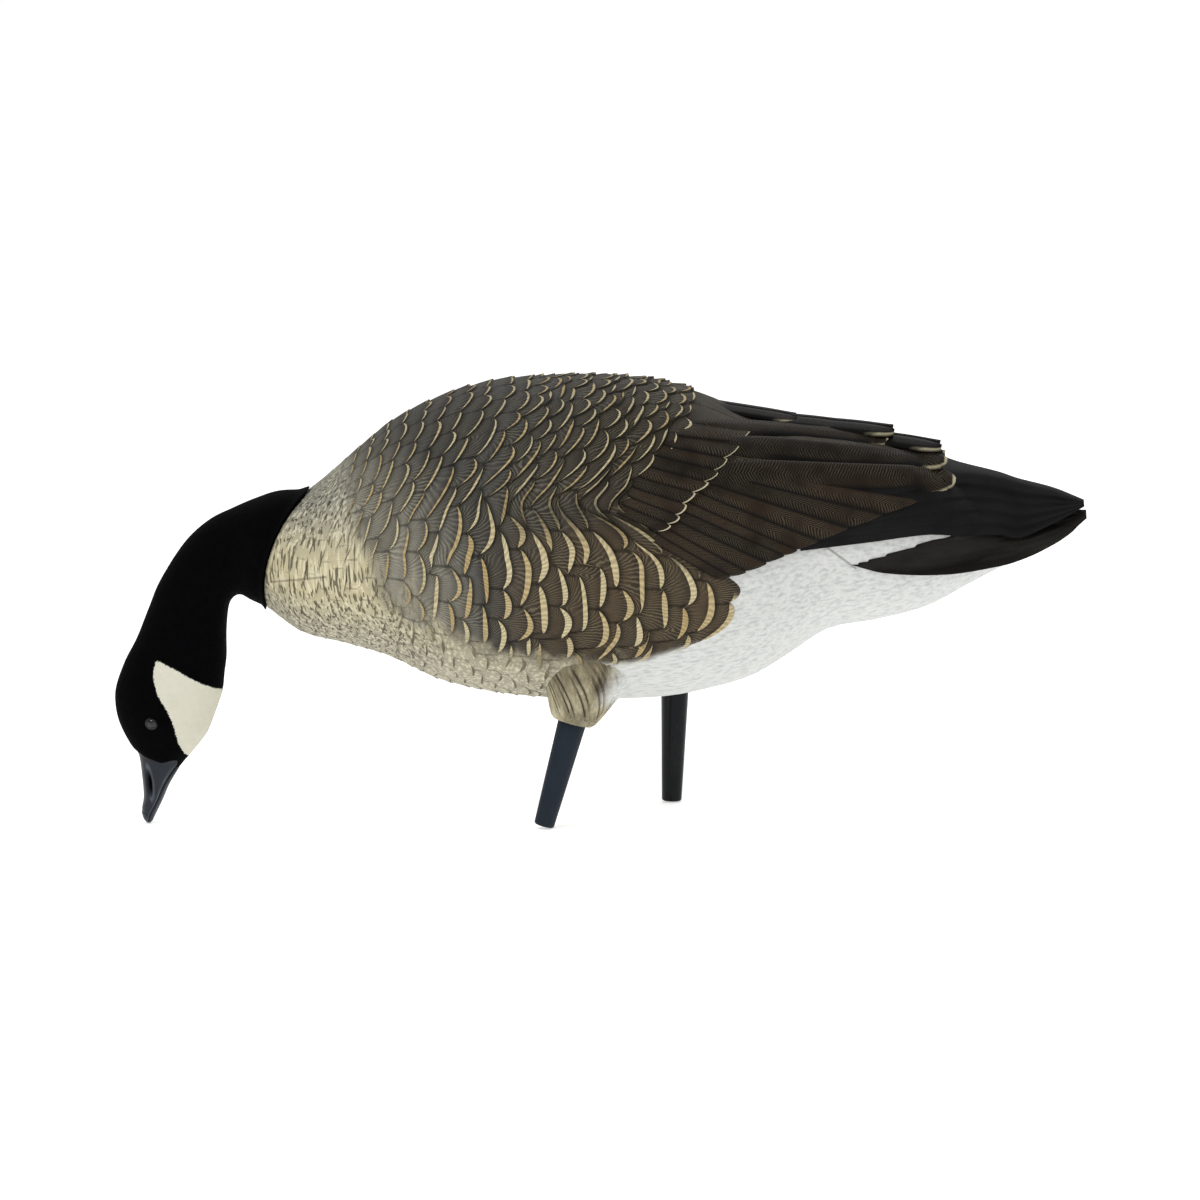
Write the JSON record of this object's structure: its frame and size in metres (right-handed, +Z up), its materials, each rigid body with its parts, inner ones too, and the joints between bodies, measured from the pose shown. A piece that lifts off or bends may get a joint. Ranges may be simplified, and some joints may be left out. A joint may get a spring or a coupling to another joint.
{
  "type": "goose decoy",
  "caption": "Full-body feeding goose decoy: moulded feathered shell, flocked neck and head reaching to the ground, tapered peg legs in a walking stance.",
  "frame": {"origin": "centre of the bounding box on the floor, where both pegs and the tip of the bill stand", "axes": "+X toward the tail, -Y toward the goose's left, +Z up"},
  "size_m": [0.7434, 0.2626, 0.3397],
  "materials": {
    "painted_shell": "matte paint in brown, buff, black and white over moulded feathers",
    "flocked_head": "black flocking, with a cream cheek patch and a satin slate bill",
    "peg_plastic": "satin black"
  },
  "bodies": {
    "root": {"body": "painted_shell", "head_and_neck": "flocked_head", "left_leg": "peg_plastic", "right_leg": "peg_plastic"}
  },
  "joints": []
}
